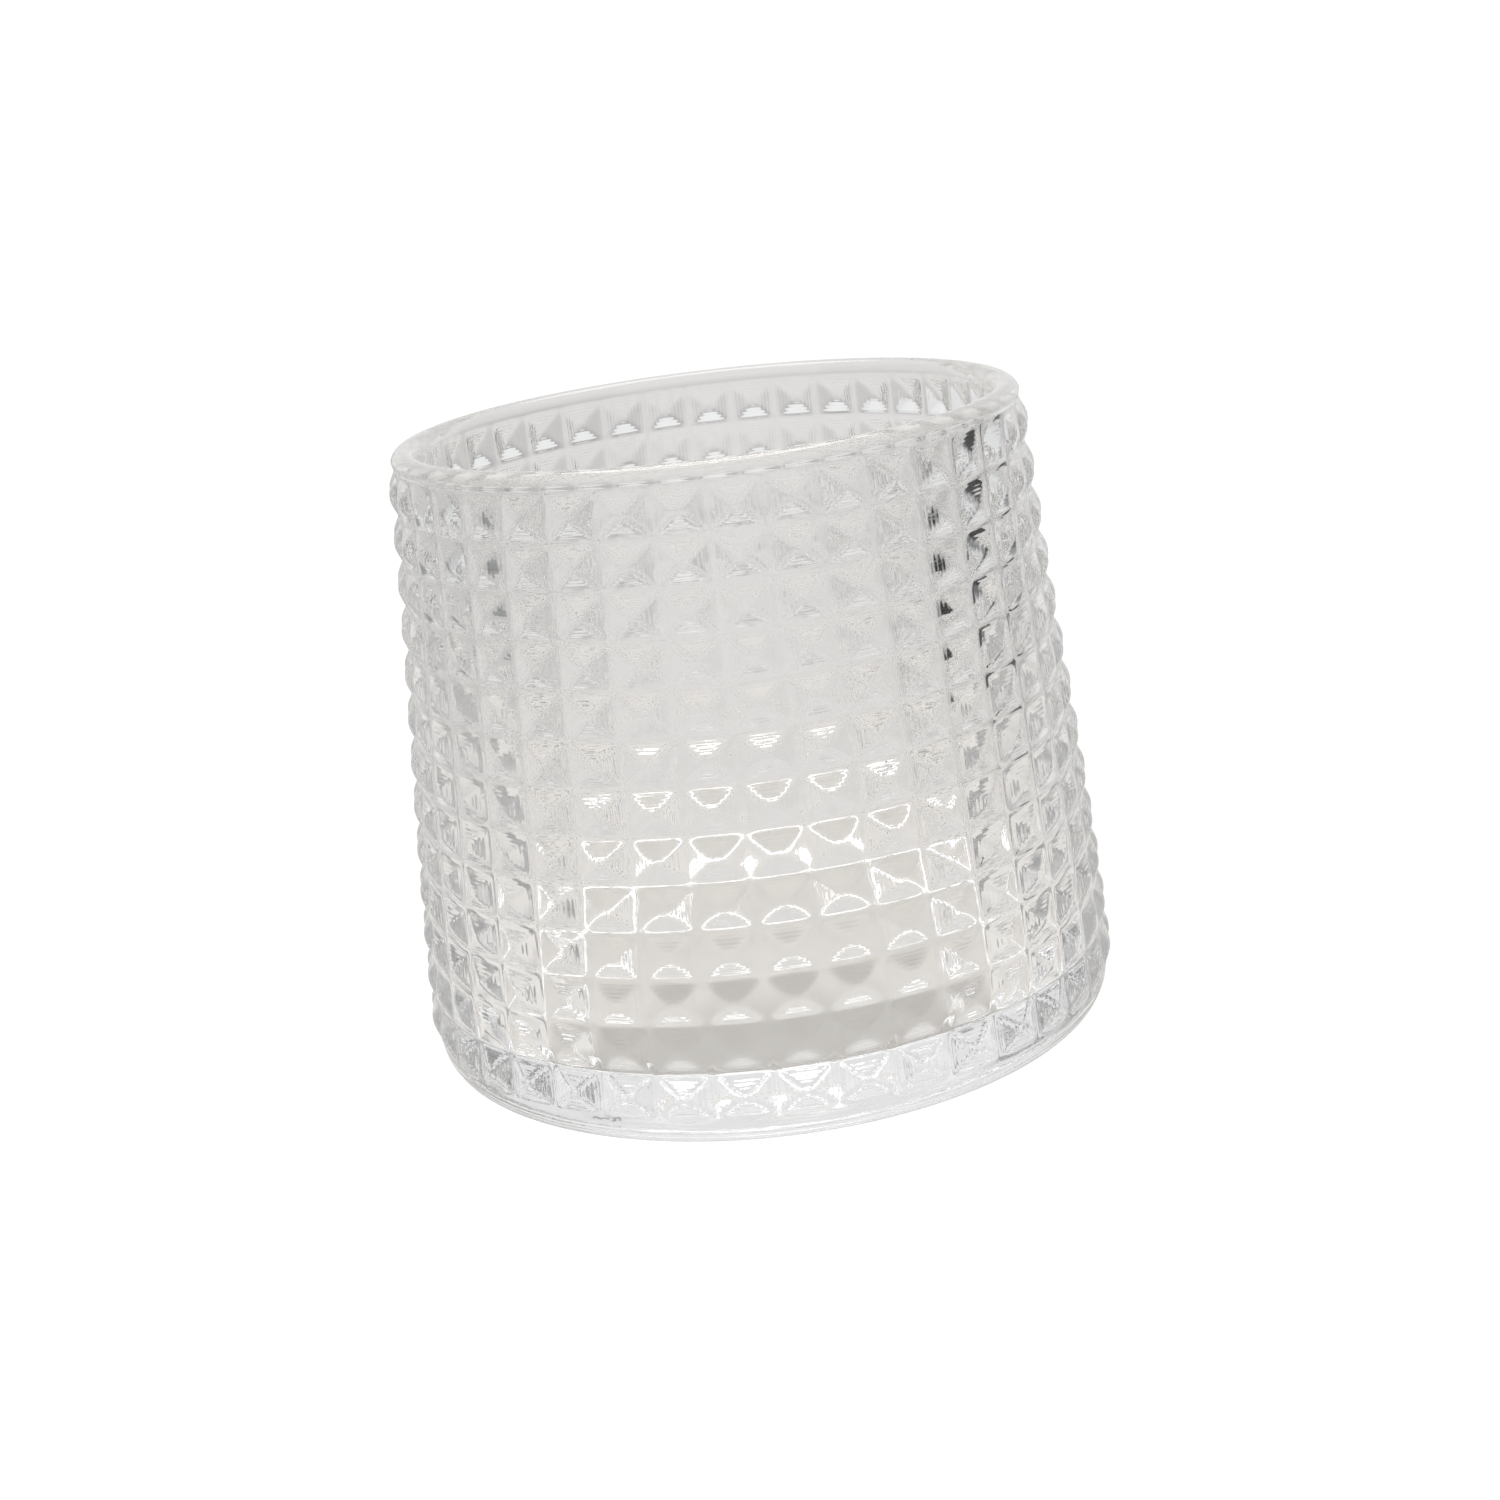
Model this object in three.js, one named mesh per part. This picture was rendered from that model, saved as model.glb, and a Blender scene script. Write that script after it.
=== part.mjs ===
// A tealight holder, pressed in one piece from clear glass: a thick round glass, a little wider at
// the foot than at the rim, with a smooth lip, a smooth heel and rows of pyramid studs between them.
// Millimetres, +Z up. The origin is the centre of the flat underside.
import * as THREE from 'three';

// Outside
const COLUMNS = 39;               // studs round the wall: 13 in each third of the mould
const ROWS = 13;                  // studs up the wall
const ROW_PITCH = 5.67;
const STUD_HEIGHT = 0.9;          // stud tip above the grooves round it
const FOOT_RADIUS = 44.2;         // groove radius below the lowest row
const NECK_RADIUS = 39.0;         // groove radius above the highest row
const FLARE = 2.4;                // how strongly the wall's slope swells between neck and foot
const BELLY = 0.1;                // how far the wall bows out halfway down
const HEEL_HEIGHT = 3.9;
const HEEL_INSET = 2.6;           // how far the heel rounds in to the flat underside
const LIP_HEIGHT = 2.2;           // lip crest above the highest row
const LIP_RADIUS = 39.3;

// Inside
const MOUTH_RADIUS = 35.8;
const WELL_RADIUS = 34.0;         // where the drafted wall meets the floor fillet
const WELL_FILLET = 4.0;
const FLOOR_THICKNESS = 5.0;

// Smoothness
const HEEL_STEPS = 4;
const LIP_STEPS = 8;
const FILLET_STEPS = 5;
const WALL_STEPS = 4;

const NECK_Z = HEEL_HEIGHT + ROWS * ROW_PITCH;
const CREST_Z = NECK_Z + LIP_HEIGHT;
const LIP_ROUND = (LIP_RADIUS - MOUTH_RADIUS) / 2;
const QUARTER = Math.PI / 2;

// Groove radius at a share of the way down from the neck (0) to the foot (1): a bowed S-shaped flare.
function grooveRadius(down) {
  const swell = down * (1 - down) * (1 - 2 * down);
  const bow = 4 * BELLY * down * (1 - down);
  return NECK_RADIUS + (FOOT_RADIUS - NECK_RADIUS) * down - FLARE * swell + bow;
}

// Points [radius, height] of a quarter ellipse between two angles, without its first point.
function arc(centre, radii, from, to, steps) {
  return Array.from({ length: steps }, (_, i) => {
    const angle = from + ((to - from) * (i + 1)) / steps;
    return [centre[0] + radii[0] * Math.cos(angle), centre[1] + radii[1] * Math.sin(angle)];
  });
}

// From the flat underside round the heel to the foot of the lowest row.
function heelProfile() {
  const start = [FOOT_RADIUS - HEEL_INSET, 0];
  const round = arc([start[0], HEEL_HEIGHT], [HEEL_INSET, HEEL_HEIGHT], -QUARTER, 0, HEEL_STEPS);
  return [start, ...round];
}

// From above the highest row over the rounded lip, down the drafted well and onto its floor.
function lipAndWellProfile() {
  const lipCentre = [MOUTH_RADIUS + LIP_ROUND, CREST_Z - LIP_ROUND];
  const lip = arc(lipCentre, [LIP_ROUND, LIP_ROUND], 0, Math.PI, LIP_STEPS);
  const filletCentre = [WELL_RADIUS - WELL_FILLET, FLOOR_THICKNESS + WELL_FILLET];
  const wall = Array.from({ length: WALL_STEPS }, (_, i) => {
    const share = (i + 1) / WALL_STEPS;
    return [
      MOUTH_RADIUS + (WELL_RADIUS - MOUTH_RADIUS) * share,
      lipCentre[1] + (filletCentre[1] - lipCentre[1]) * share,
    ];
  });
  const fillet = arc(filletCentre, [WELL_FILLET, WELL_FILLET], 0, -QUARTER, FILLET_STEPS);
  return [[LIP_RADIUS, lipCentre[1]], ...lip, ...wall, ...fillet];
}

// One closed shell, ring by ring: underside, heel, rows of pyramids, lip, well and floor.
function holderGeometry() {
  const points = [];
  const faces = [];
  const addPoint = (radius, column, z) => {
    const angle = (column * 2 * Math.PI) / COLUMNS;
    return points.push([radius * Math.sin(angle), -radius * Math.cos(angle), z]) - 1;
  };
  const addRing = ([radius, z]) =>
    Array.from({ length: COLUMNS }, (_, column) => addPoint(radius, column, z));
  const addBand = (lower, upper) => {
    for (let i = 0; i < COLUMNS; i += 1) {
      const next = (i + 1) % COLUMNS;
      faces.push([lower[i], lower[next], upper[next]], [lower[i], upper[next], upper[i]]);
    }
  };
  const addStuds = (lower, upper, tipRadius, z) => {
    for (let i = 0; i < COLUMNS; i += 1) {
      const next = (i + 1) % COLUMNS;
      const tip = addPoint(tipRadius, i + 0.5, z);
      const corners = [lower[i], lower[next], upper[next], upper[i]];
      corners.forEach((corner, k) => faces.push([corner, corners[(k + 1) % 4], tip]));
    }
  };

  const heel = heelProfile().map(addRing);
  heel.slice(1).forEach((ring, i) => addBand(heel[i], ring));
  let ring = heel.at(-1);
  for (let row = 0; row < ROWS; row += 1) {
    const z = HEEL_HEIGHT + row * ROW_PITCH;
    const upper = addRing([grooveRadius(1 - (row + 1) / ROWS), z + ROW_PITCH]);
    const tipRadius = grooveRadius(1 - (row + 0.5) / ROWS) + STUD_HEIGHT;
    addStuds(ring, upper, tipRadius, z + ROW_PITCH / 2);
    ring = upper;
  }
  for (const point of lipAndWellProfile()) {
    const upper = addRing(point);
    addBand(ring, upper);
    ring = upper;
  }
  const undersideCentre = addPoint(0, 0, 0);
  const floorCentre = addPoint(0, 0, FLOOR_THICKNESS);
  for (let i = 0; i < COLUMNS; i += 1) {
    const next = (i + 1) % COLUMNS;
    faces.push([undersideCentre, heel[0][next], heel[0][i]], [ring[i], ring[next], floorCentre]);
  }

  const geometry = new THREE.BufferGeometry();
  geometry.setAttribute('position', new THREE.Float32BufferAttribute(points.flat(), 3));
  geometry.setIndex(faces.flat());
  geometry.computeVertexNormals();
  return geometry;
}

const group = new THREE.Group();
const glass = new THREE.MeshStandardMaterial({
  color: 0xe4e3de,
  roughness: 0.03,
  metalness: 0,
  transparent: true,
  opacity: 0.45,
});
const holder = new THREE.Mesh(holderGeometry(), glass);
holder.name = 'glass_holder';
group.add(holder);

export default group;
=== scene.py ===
"""Looks for a pressed-glass tealight holder."""
import math

import bpy
import numpy as np
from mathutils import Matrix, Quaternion, Vector


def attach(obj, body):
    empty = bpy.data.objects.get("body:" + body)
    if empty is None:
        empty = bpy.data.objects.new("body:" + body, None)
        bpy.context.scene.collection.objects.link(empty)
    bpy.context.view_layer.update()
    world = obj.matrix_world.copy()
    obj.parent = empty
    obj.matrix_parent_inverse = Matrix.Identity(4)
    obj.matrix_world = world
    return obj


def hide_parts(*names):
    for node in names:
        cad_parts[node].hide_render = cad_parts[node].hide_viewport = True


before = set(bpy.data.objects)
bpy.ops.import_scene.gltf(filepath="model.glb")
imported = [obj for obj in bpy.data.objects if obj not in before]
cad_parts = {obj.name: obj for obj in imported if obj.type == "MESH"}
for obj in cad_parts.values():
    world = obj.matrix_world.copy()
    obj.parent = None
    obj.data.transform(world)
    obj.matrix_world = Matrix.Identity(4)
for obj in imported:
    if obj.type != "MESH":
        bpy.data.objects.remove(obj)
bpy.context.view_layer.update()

MM = 0.001
TURN = 2 * math.pi

# The glass, repeated from its CAD part, in millimetres
COLUMNS = 39              # studs round the wall
ROWS = 13                 # studs up the wall
ROW_PITCH = 5.67
STUD_HEIGHT = 0.9         # stud tip above the grooves round it
FOOT_RADIUS = 44.2        # groove radius below the lowest row
NECK_RADIUS = 39.0        # groove radius above the highest row
FLARE = 2.4               # how strongly the wall's slope swells between neck and foot
BELLY = 0.1               # how far the wall bows out halfway down
HEEL_HEIGHT = 3.9
HEEL_INSET = 2.6          # how far the heel rounds in to the flat underside
LIP_HEIGHT = 2.2          # lip crest above the highest row
LIP_RADIUS = 39.3
MOUTH_RADIUS = 35.8
WELL_RADIUS = 34.0        # where the drafted wall meets the floor fillet
WELL_FILLET = 4.0
FLOOR_THICKNESS = 5.0

# The shapes that are finer than in CAD
TIP_WIDTH = 0.45          # share of the stud's width that the domed tip takes up
RIDGE_SHARPNESS = 10      # how square the stud is near its grooves; its tip is round
GROOVE_ROUND = 0.15       # how rounded the grooves are, as a share of the stud's height
LIP_SWELL = 20            # degrees round the lip at which the wall runs into it

# Mesh steps
STUD_STEPS = 14           # across one stud, each way
FLAT_STEPS = 24           # along the underside and along the well's floor
HEEL_STEPS = 16
NECK_STEPS = 8
LIP_STEPS = 20
WALL_STEPS = 60
FILLET_STEPS = 24
INNER_RADIUS = 0.5        # of the first and the last ring, in millimetres

# The glass's surface
GLASS_TINT = (0.986, 0.982, 0.979, 1)
GLASS_SHADOW = (0.88, 0.875, 0.865, 1)
GLASS_IOR = 1.51
MARKS = 13                # mould marks per stud width, half of them on each side of the tip
MARK_HEIGHT = 0.004       # millimetres
MARKS_END = 0.9           # share of a stud that the marks cover; the grooves are smooth
MARK_ROUNDNESS = 0.12     # of the marks' corners, in stud widths
WOBBLE = 0.03             # how far the marks wander, in stud widths
WOBBLE_NOISE = (400, 3)   # scale and detail
WAVE_HEIGHT = 0.024       # of the whole surface's faint waviness, in millimetres
WAVE_NOISE = (260, 2)     # scale and detail

# The camera: angles in degrees, lengths in millimetres
CAMERA_AZIMUTH = 1.35
CAMERA_ELEVATION = 15.16
CAMERA_ROLL = 6.9
CAMERA_PAN = 0.244
CAMERA_TILT = 0.9263
CAMERA_DISTANCE = 321.7
CAMERA_TARGET = 40.77     # height of the point that the camera circles
CAMERA_LENS = 59.85
CAMERA_SENSOR = 36
CAMERA_CLIP = (0.01, 20)  # metres

# The floor, in metres: it ends close by on the right, and the glass sees dark beyond it
FLOOR_SIDES = (-0.6, 0.16)
FLOOR_ENDS = (-1.5, 3.0)  # front and back
FLOOR_HEIGHT = -0.0003    # clear of the glass's underside
FLOOR_WHITE = 0.9         # share of plain white in what the camera sees of the floor
FLOOR_ROUGHNESS = 0.9
FLOOR_SPECULAR = 0.1
# Its painted light and shade, by the distance from a point this far in front of the glass's axis: a
# painted shadow under the glass's near side, a painted pool of light round it and a dimmer floor
# further off
PAINTED_SHADE_OFFSET = (0, 0.03, 0)
PAINTED_SHADE_SCALE = (0.6, 1, 1)  # the painted shade is wider than deep
PAINTED_LIGHT_TONES = ((0, 0.62), (0.016, 0.62), (0.028, 0.95), (0.07, 0.92), (0.12, 0.79), (0.5, 0.79))
PAINTED_LIGHT_REACH = 0.5         # distance of the last tone
WARM = (1, 0.975, 0.93)   # colour of the painted tones of light and shade nearer than WARM_REACH, and COOL of the others
COOL = (1, 0.985, 0.965)
WARM_REACH = 0.1
PAINTED_SIDE_SHADE = 0.82              # painted shade: how much of its tone the floor keeps to the left and right
PAINTED_SIDE_SHADE_EDGE = (0.045, 0.12)

# The brightness that the glass sees by direction. Edges up and down are given as the sine of the
# angle above the horizon, and edges to the sides in degrees from straight behind the glass.
STUDIO_COLOR = (0.985, 0.992, 1.0, 1)
WHITE = 1.1               # what the camera itself sees
BACK_LOW = 0.8            # backdrop, from below the horizon upwards
BACK_HORIZON = 0.9
BACK_HIGH = 0.8
HORIZON_EDGE = (-0.05, 0.05)
HIGH_EDGE = (0.12, 0.35)
SIDE = 0.22
SIDE_EDGE = (38, 62)
FRONT = 0.08
FRONT_EDGE = (115, 150)
CEILING = 1.0
CEILING_EDGE = (0.55, 0.8)
UNDER = (0.35, 0.03)      # beside the backdrop and below the horizon, left and right
UNDER_EDGE = (-0.06, 0.0)
MIDDLE_EDGE = (-1, 1)

# The lights: name, place and size in metres, power in watts
LIGHTS = (
    ("overhead", (0, 0.35, 0.8), (0.5, 0.4), 1.6),
    ("front", (-0.1, -0.85, 0.5), (1.8, 1.0), 2.5),
)
LIGHT_TARGET = (0, 0, 0.04)
BOUNCES = 32              # enough for light to leave the glass again
GLOSSY_BOUNCES = 16


def groove_radius(down):
    """Radius at the grooves, at a share of the way down from the neck to the foot."""
    swell = down * (1 - down) * (1 - 2 * down)
    bow = 4 * BELLY * down * (1 - down)
    return NECK_RADIUS + (FOOT_RADIUS - NECK_RADIUS) * down - FLARE * swell + bow


def stud_height(across, up):
    """Height over the grooves, for places from -1 to 1 across and up a stud: straight sides that
    meet in a domed tip and run out into rounded grooves."""
    side, end = np.abs(across), np.abs(up)
    power = 2 + RIDGE_SHARPNESS * np.maximum(side, end)
    edge = np.minimum((side ** power + end ** power) ** (1 / power), 1)
    dome = 1 - edge ** 2 / TIP_WIDTH / (2 - TIP_WIDTH)
    rise = np.where(edge < TIP_WIDTH, dome, (1 - edge) / (1 - TIP_WIDTH / 2))
    full = math.hypot(1, GROOVE_ROUND) - GROOVE_ROUND
    return STUD_HEIGHT * (np.sqrt(rise ** 2 + GROOVE_ROUND ** 2) - GROOVE_ROUND) / full


def arc(centre, radii, start, end, steps):
    """Points (radius, height) of an ellipse between two angles, without the first."""
    (x, z), (wide, high) = centre, radii
    angles = np.linspace(start, end, steps + 1)[1:]
    return [(x + wide * math.cos(angle), z + high * math.sin(angle)) for angle in angles]


def line(start, end, steps):
    """Points (radius, height) along a line, without the first."""
    start, end = np.array(start), np.array(end)
    return [tuple(start + (end - start) * i / steps) for i in range(1, steps + 1)]


def ease(start, end, steps):
    """Points (radius, height) along an S-curve that starts and ends upright, without the first."""
    shares = np.arange(1, steps + 1) / steps
    radii = start[0] + (end[0] - start[0]) * shares ** 2 * (3 - 2 * shares)
    heights = start[1] + (end[1] - start[1]) * shares
    return list(zip(radii.tolist(), heights.tolist()))


def heel_profile():
    """From the middle of the underside round the heel to the foot of the lowest row."""
    middle, flat = (INNER_RADIUS, 0.0), FOOT_RADIUS - HEEL_INSET
    return [
        middle,
        *line(middle, (flat, 0.0), FLAT_STEPS),
        *arc((flat, HEEL_HEIGHT), (HEEL_INSET, HEEL_HEIGHT), -TURN / 4, 0, HEEL_STEPS),
    ]


def lip_and_well_profile():
    """From above the highest row over the lip, down the well and in to the middle of its floor."""
    crest = HEEL_HEIGHT + ROWS * ROW_PITCH + LIP_HEIGHT
    half = (LIP_RADIUS - MOUTH_RADIUS) / 2
    lip_centre = (MOUTH_RADIUS + half, crest - half)
    fillet_centre = (WELL_RADIUS - WELL_FILLET, FLOOR_THICKNESS + WELL_FILLET)
    swell = math.radians(LIP_SWELL)
    lip_start = (lip_centre[0] + half * math.cos(swell), lip_centre[1] + half * math.sin(swell))
    floor_start, floor_end = ((r, FLOOR_THICKNESS) for r in (fillet_centre[0], INNER_RADIUS))
    return [
        *ease((NECK_RADIUS, crest - LIP_HEIGHT), lip_start, NECK_STEPS),
        *arc(lip_centre, (half, half), swell, TURN / 2, LIP_STEPS),
        *line((MOUTH_RADIUS, lip_centre[1]), (WELL_RADIUS, fillet_centre[1]), WALL_STEPS),
        *arc(fillet_centre, (WELL_FILLET, WELL_FILLET), 0, -TURN / 4, FILLET_STEPS),
        *line(floor_start, floor_end, FLAT_STEPS),
    ]


def glass_rings():
    """The glass as rings from the underside's middle outwards, up, over the lip and down the well:
    radii [ring, place round it] and heights [ring], in millimetres."""
    around = COLUMNS * STUD_STEPS
    across = (np.arange(around) % STUD_STEPS) / STUD_STEPS * 2 - 1
    radii, heights = [], []

    def add(radius, height):
        radii.append(np.full(around, 1.0) * radius)
        heights.append(height)

    for point in heel_profile():
        add(*point)
    for step in range(1, ROWS * STUD_STEPS):
        up = (step % STUD_STEPS) / STUD_STEPS * 2 - 1
        groove = groove_radius(1 - step / (ROWS * STUD_STEPS))
        add(groove + stud_height(across, up), HEEL_HEIGHT + step / STUD_STEPS * ROW_PITCH)
    add(NECK_RADIUS, HEEL_HEIGHT + ROWS * ROW_PITCH)
    for point in lip_and_well_profile():
        add(*point)
    return np.array(radii), np.array(heights)


def ring_mesh(name, radii, heights):
    """A smooth closed mesh through rings of equal length, capped at both ends."""
    rings, around = radii.shape
    angle = np.arange(around) / around * TURN
    levels = np.repeat(heights[:, None], around, 1)
    points = np.stack([radii * np.sin(angle), -radii * np.cos(angle), levels], -1)
    points = points.reshape(-1, 3) * MM
    here = np.arange(around)
    after = (here + 1) % around
    faces = []
    for ring in range(rings - 1):
        low, high = ring * around, (ring + 1) * around
        faces.append(np.stack([low + here, low + after, high + after, high + here], -1))
    faces = np.concatenate(faces).tolist()
    middles = [[0, 0, heights[0] * MM], [0, 0, heights[-1] * MM]]
    start, end, last = len(points), len(points) + 1, (rings - 1) * around
    faces += [[start, int(b), int(a)] for a, b in zip(here, after)]
    faces += [[last + int(a), last + int(b), end] for a, b in zip(here, after)]
    mesh = bpy.data.meshes.new(name)
    mesh.from_pydata(np.concatenate([points, middles]).tolist(), [], faces)
    mesh.polygons.foreach_set("use_smooth", [True] * len(mesh.polygons))
    mesh.update()
    obj = bpy.data.objects.new(name, mesh)
    bpy.context.scene.collection.objects.link(obj)
    return obj


def new_material(name):
    material = bpy.data.materials.new(name)
    material.use_nodes = True
    tree = material.node_tree
    return material, tree, tree.nodes["Principled BSDF"]


def set_inputs(node, **values):
    """Set a node's inputs, each named with _ for a space."""
    for name, value in values.items():
        node.inputs[name.replace("_", " ")].default_value = value


def maths_on(tree):
    """A function that adds a maths node to a tree and returns its output."""
    def maths(operation, *inputs):
        node = tree.nodes.new("ShaderNodeMath")
        node.operation = operation
        for socket, value in zip(node.inputs, inputs):
            if isinstance(value, (int, float)):
                socket.default_value = value
            else:
                tree.links.new(value, socket)
        return node.outputs[0]
    return maths


def noise(tree, coords, scale, detail):
    node = tree.nodes.new("ShaderNodeTexNoise")
    set_inputs(node, Scale=scale, Detail=detail)
    tree.links.new(coords, node.inputs["Vector"])
    return node.outputs["Fac"]


def smooth_step(tree, value, edges, ends=(0, 1)):
    """A value that eases from one end to the other between two edges."""
    node = tree.nodes.new("ShaderNodeMapRange")
    node.interpolation_type = "SMOOTHSTEP"
    tree.links.new(value, node.inputs["Value"])
    set_inputs(node, From_Min=edges[0], From_Max=edges[1], To_Min=ends[0], To_Max=ends[1])
    return node.outputs["Result"]


def mix_shaders(tree, factor, low, high):
    node = tree.nodes.new("ShaderNodeMixShader")
    for socket, value in zip(node.inputs, (factor, low, high)):
        tree.links.new(value, socket)
    return node.outputs[0]


def glass_relief(tree):
    """Height of the glass's faint waviness, with fine mould marks that ring each stud's tip."""
    maths = maths_on(tree)
    coords = tree.nodes.new("ShaderNodeTexCoord").outputs["Object"]
    split = tree.nodes.new("ShaderNodeSeparateXYZ")
    tree.links.new(coords, split.inputs[0])
    x, y, z = split.outputs

    # The place in the grid of studs, then the distance from a stud's middle in stud widths
    column = maths("MULTIPLY", maths("ARCTAN2", x, maths("MULTIPLY", y, -1)), COLUMNS / TURN)
    row = maths("DIVIDE", maths("SUBTRACT", z, HEEL_HEIGHT * MM), ROW_PITCH * MM)
    side, end = (maths("PINGPONG", maths("ADD", place, 0.5), 0.5) for place in (column, row))
    edge = maths("SMOOTH_MAX", side, end, MARK_ROUNDNESS)

    wobble = maths("MULTIPLY", noise(tree, coords, *WOBBLE_NOISE), WOBBLE)
    rings = maths("SINE", maths("MULTIPLY", maths("ADD", edge, wobble), MARKS * TURN))
    radius = maths("SQRT", maths("ADD", maths("MULTIPLY", x, x), maths("MULTIPLY", y, y)))
    outside = maths("GREATER_THAN", radius, (NECK_RADIUS + MOUTH_RADIUS) / 2 * MM)
    from_middle_row = maths("ABSOLUTE", maths("SUBTRACT", row, ROWS / 2))
    studded = maths("MULTIPLY", outside, maths("LESS_THAN", from_middle_row, ROWS / 2))
    studded = maths("MULTIPLY", studded, maths("LESS_THAN", edge, MARKS_END / 2))
    marks = maths("MULTIPLY", maths("MULTIPLY", rings, studded), MARK_HEIGHT * MM)
    waves = maths("MULTIPLY", noise(tree, coords, *WAVE_NOISE), WAVE_HEIGHT * MM)
    return maths("ADD", marks, waves)


def glass_material():
    """Clear glass that lets part of the light through to its shadow."""
    material, tree, shader = new_material("pressed_glass")
    set_inputs(shader, Base_Color=GLASS_TINT, Transmission_Weight=1, IOR=GLASS_IOR, Roughness=0)
    bump = tree.nodes.new("ShaderNodeBump")
    set_inputs(bump, Strength=1, Distance=1)
    tree.links.new(glass_relief(tree), bump.inputs["Height"])
    tree.links.new(bump.outputs["Normal"], shader.inputs["Normal"])
    path = tree.nodes.new("ShaderNodeLightPath")
    clear = tree.nodes.new("ShaderNodeBsdfTransparent")
    set_inputs(clear, Color=GLASS_SHADOW)
    out = mix_shaders(tree, path.outputs["Is Shadow Ray"], shader.outputs[0], clear.outputs[0])
    tree.links.new(out, tree.nodes["Material Output"].inputs[0])
    return material


def white_for_camera(tree, seen_by_glass, share=1.0):
    """What the camera sees directly is white, and the glass and the lights see the real surface."""
    path = tree.nodes.new("ShaderNodeLightPath")
    white = tree.nodes.new("ShaderNodeEmission")
    set_inputs(white, Strength=WHITE)
    factor = maths_on(tree)("MULTIPLY", path.outputs["Is Camera Ray"], share)
    return mix_shaders(tree, factor, seen_by_glass, white.outputs[0])


def floor_painted_light(tree):
    """The floor's colour with painted light and shade: a painted shadow under the near part of the
    glass, a painted pool of light round it, and painted shade towards the sides.
    """
    nodes, links = tree.nodes, tree.links
    maths = maths_on(tree)
    coords = nodes.new("ShaderNodeTexCoord").outputs["Object"]
    mapping = nodes.new("ShaderNodeMapping")
    set_inputs(mapping, Location=PAINTED_SHADE_OFFSET, Scale=PAINTED_SHADE_SCALE)
    links.new(coords, mapping.inputs[0])
    distance = nodes.new("ShaderNodeVectorMath")
    distance.operation = "LENGTH"
    links.new(mapping.outputs[0], distance.inputs[0])
    # Painted light and shade: floor tones by the distance from under the glass's near side
    tone = nodes.new("ShaderNodeValToRGB")
    tone.color_ramp.interpolation = "EASE"
    links.new(maths("DIVIDE", distance.outputs["Value"], PAINTED_LIGHT_REACH), tone.inputs[0])
    stops = tone.color_ramp.elements
    while len(stops) < len(PAINTED_LIGHT_TONES):
        stops.new(1)
    for stop, (place, level) in zip(stops, PAINTED_LIGHT_TONES):
        stop.position = place / PAINTED_LIGHT_REACH
        stop.color = [level * share for share in (WARM if place < WARM_REACH else COOL)] + [1]
    split = nodes.new("ShaderNodeSeparateXYZ")
    links.new(coords, split.inputs[0])
    # Painted shade towards the left and right
    shade = nodes.new("ShaderNodeVectorMath")
    shade.operation = "SCALE"
    links.new(tone.outputs[0], shade.inputs[0])
    fade = smooth_step(tree, maths("ABSOLUTE", split.outputs[0]), PAINTED_SIDE_SHADE_EDGE, (1, PAINTED_SIDE_SHADE))
    links.new(fade, shade.inputs["Scale"])
    return shade.outputs[0]


def add_floor():
    """A plain pale floor that the camera sees almost white, with painted light and shade that the
    glass sees.
    """
    (left, right), (front, back), z = FLOOR_SIDES, FLOOR_ENDS, FLOOR_HEIGHT
    corners = [(left, front, z), (right, front, z), (right, back, z), (left, back, z)]
    mesh = bpy.data.meshes.new("floor")
    mesh.from_pydata(corners, [], [(0, 1, 2, 3)])
    floor = bpy.data.objects.new("floor", mesh)
    bpy.context.scene.collection.objects.link(floor)
    material, tree, shader = new_material("floor")
    # The floor's colour carries painted light and shade, seen by the glass
    tree.links.new(floor_painted_light(tree), shader.inputs["Base Color"])
    set_inputs(shader, Roughness=FLOOR_ROUGHNESS, Specular_IOR_Level=FLOOR_SPECULAR)
    out = white_for_camera(tree, shader.outputs[0], FLOOR_WHITE)
    tree.links.new(out, tree.nodes["Material Output"].inputs[0])
    mesh.materials.append(material)


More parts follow.
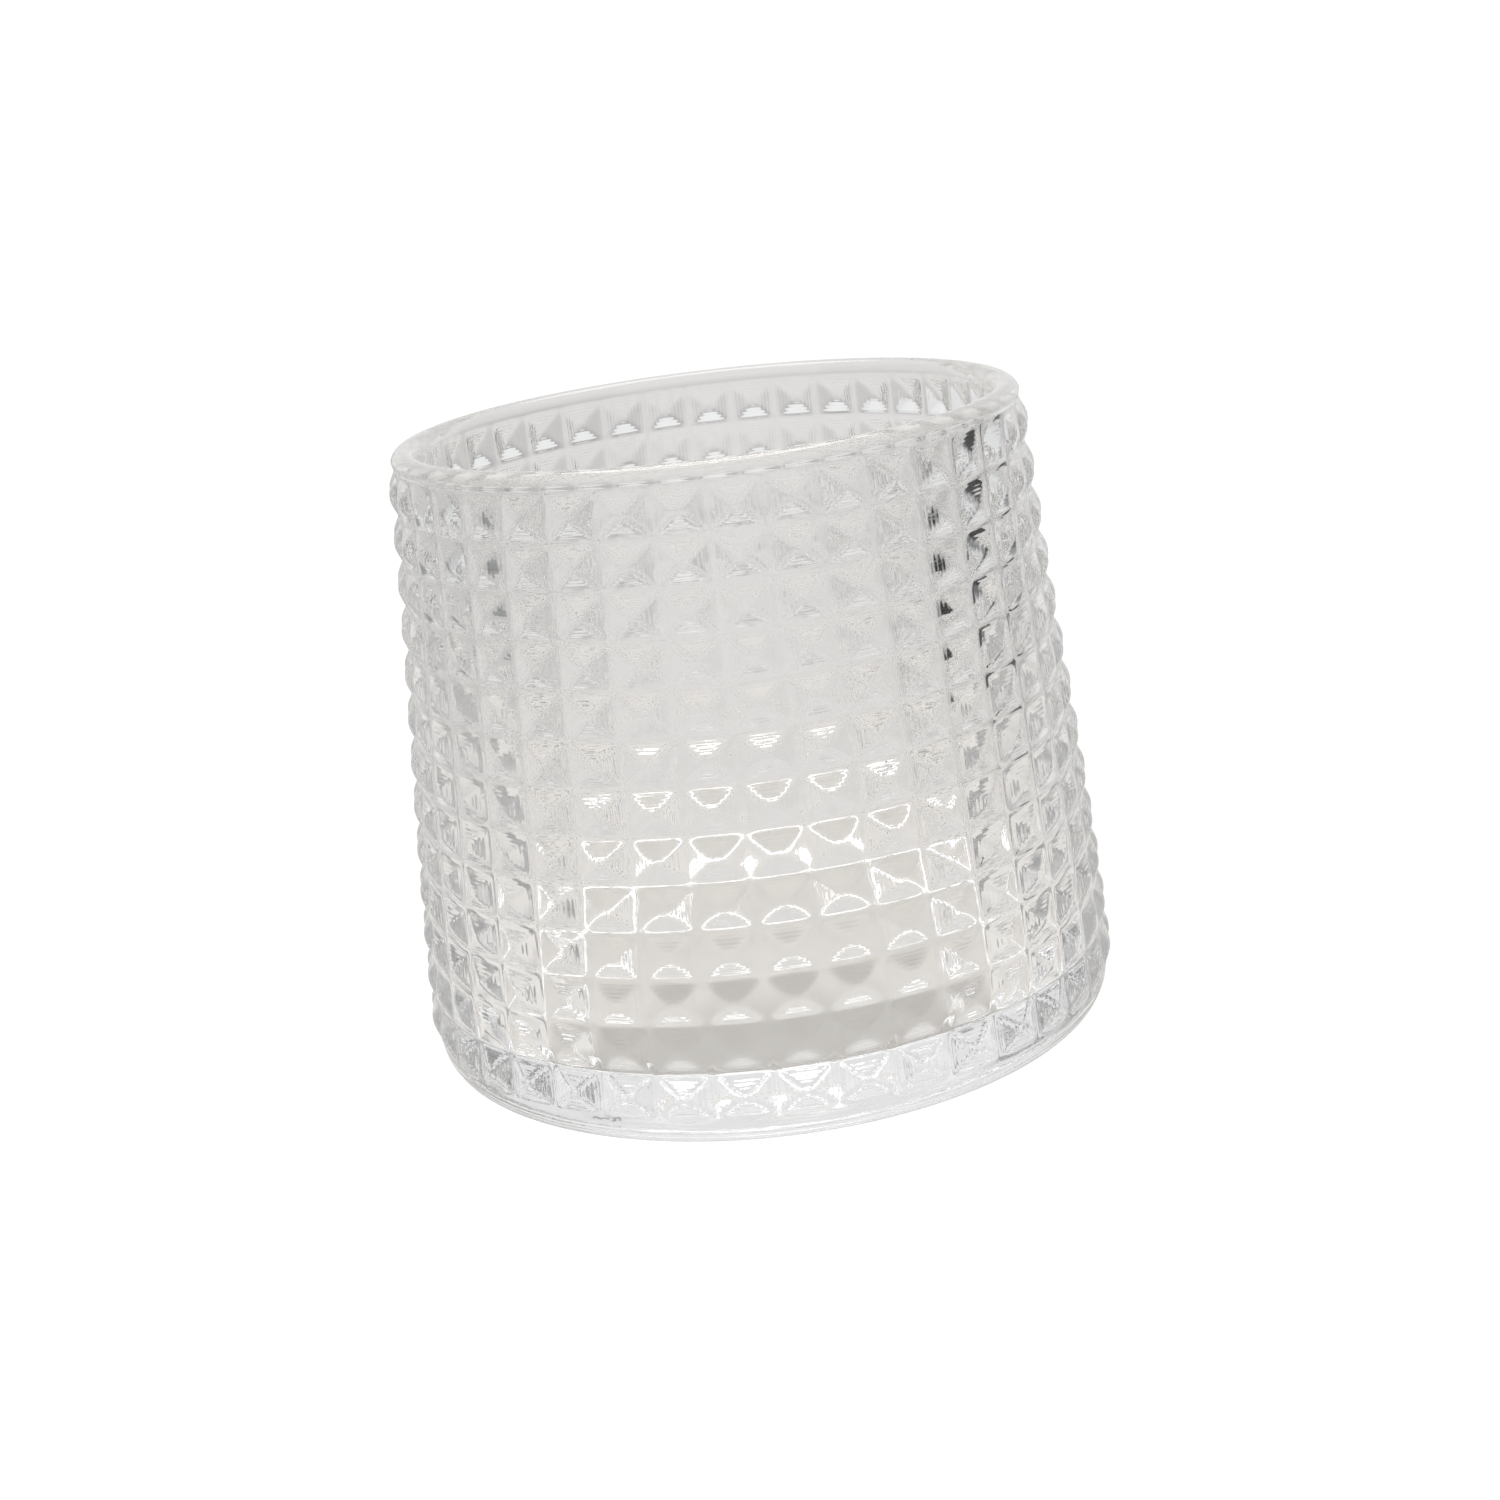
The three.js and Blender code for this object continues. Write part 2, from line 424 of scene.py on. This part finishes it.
def add_world():
    """A studio that only the glass sees: a bright backdrop, dim sides and a soft bright ceiling."""
    world = bpy.data.worlds.new("studio")
    bpy.context.scene.world = world
    world.use_nodes = True
    tree = world.node_tree
    nodes, links = tree.nodes, tree.links
    maths = maths_on(tree)
    split = nodes.new("ShaderNodeSeparateXYZ")
    links.new(nodes.new("ShaderNodeTexCoord").outputs["Generated"], split.inputs[0])
    x, y, up = split.outputs

    def blend(value, edges, low, high):
        node = nodes.new("ShaderNodeMix")
        node.data_type = "FLOAT"
        links.new(smooth_step(tree, value, edges), node.inputs["Factor"])
        for socket, level in (("A", low), ("B", high)):
            if isinstance(level, (int, float)):
                node.inputs[socket].default_value = level
            else:
                links.new(level, node.inputs[socket])
        return node.outputs["Result"]

    # Degrees from straight behind the glass, more than 0 to the camera's right
    azimuth = maths("MULTIPLY", maths("ARCTAN2", x, y), 360 / TURN)
    aside = maths("ABSOLUTE", azimuth)
    backdrop = blend(up, HORIZON_EDGE, BACK_LOW, BACK_HORIZON)
    backdrop = blend(up, HIGH_EDGE, backdrop, BACK_HIGH)
    level = blend(aside, SIDE_EDGE, backdrop, SIDE)
    level = blend(aside, FRONT_EDGE, level, FRONT)
    level = blend(up, CEILING_EDGE, level, CEILING)
    below = blend(aside, SIDE_EDGE, BACK_LOW, blend(azimuth, MIDDLE_EDGE, *UNDER))
    level = blend(up, UNDER_EDGE, below, level)
    studio = nodes["Background"]
    set_inputs(studio, Color=STUDIO_COLOR)
    links.new(level, studio.inputs["Strength"])
    links.new(white_for_camera(tree, studio.outputs[0]), nodes["World Output"].inputs[0])


def add_light(name, place, size, power):
    """A soft rectangular light that the camera doesn't see."""
    data = bpy.data.lights.new(name, "AREA")
    data.shape = "RECTANGLE"
    data.size, data.size_y = size
    data.energy = power
    light = bpy.data.objects.new(name, data)
    light.location = place
    light.rotation_mode = "QUATERNION"
    light.rotation_quaternion = (Vector(LIGHT_TARGET) - Vector(place)).to_track_quat("-Z", "Y")
    light.visible_camera = False
    bpy.context.scene.collection.objects.link(light)


def add_camera():
    data = bpy.data.cameras.new("camera")
    data.lens = CAMERA_LENS
    data.sensor_width = CAMERA_SENSOR
    data.clip_start, data.clip_end = CAMERA_CLIP
    camera = bpy.data.objects.new("camera", data)
    bpy.context.scene.collection.objects.link(camera)
    azimuth, elevation = math.radians(CAMERA_AZIMUTH), math.radians(CAMERA_ELEVATION)
    level = math.cos(elevation)
    back = Vector((math.sin(azimuth) * level, -math.cos(azimuth) * level, math.sin(elevation)))
    camera.location = Vector((0, 0, CAMERA_TARGET * MM)) + back * CAMERA_DISTANCE * MM
    camera.rotation_mode = "QUATERNION"
    look = (-back).to_track_quat("-Z", "Y")
    roll = Quaternion((0, 0, 1), -math.radians(CAMERA_ROLL))
    pan = Quaternion((0, 1, 0), -math.radians(CAMERA_PAN))
    tilt = Quaternion((1, 0, 0), -math.radians(CAMERA_TILT))
    camera.rotation_quaternion = look @ roll @ pan @ tilt
    bpy.context.scene.camera = camera


glass = ring_mesh("pressed_glass", *glass_rings())
glass.data.materials.append(glass_material())
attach(glass, "root")
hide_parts("glass_holder")

add_floor()
add_world()
for light in LIGHTS:
    add_light(*light)
add_camera()

scene = bpy.context.scene
scene.view_settings.view_transform = "Standard"
scene.cycles.max_bounces = BOUNCES
scene.cycles.transmission_bounces = BOUNCES
scene.cycles.glossy_bounces = GLOSSY_BOUNCES
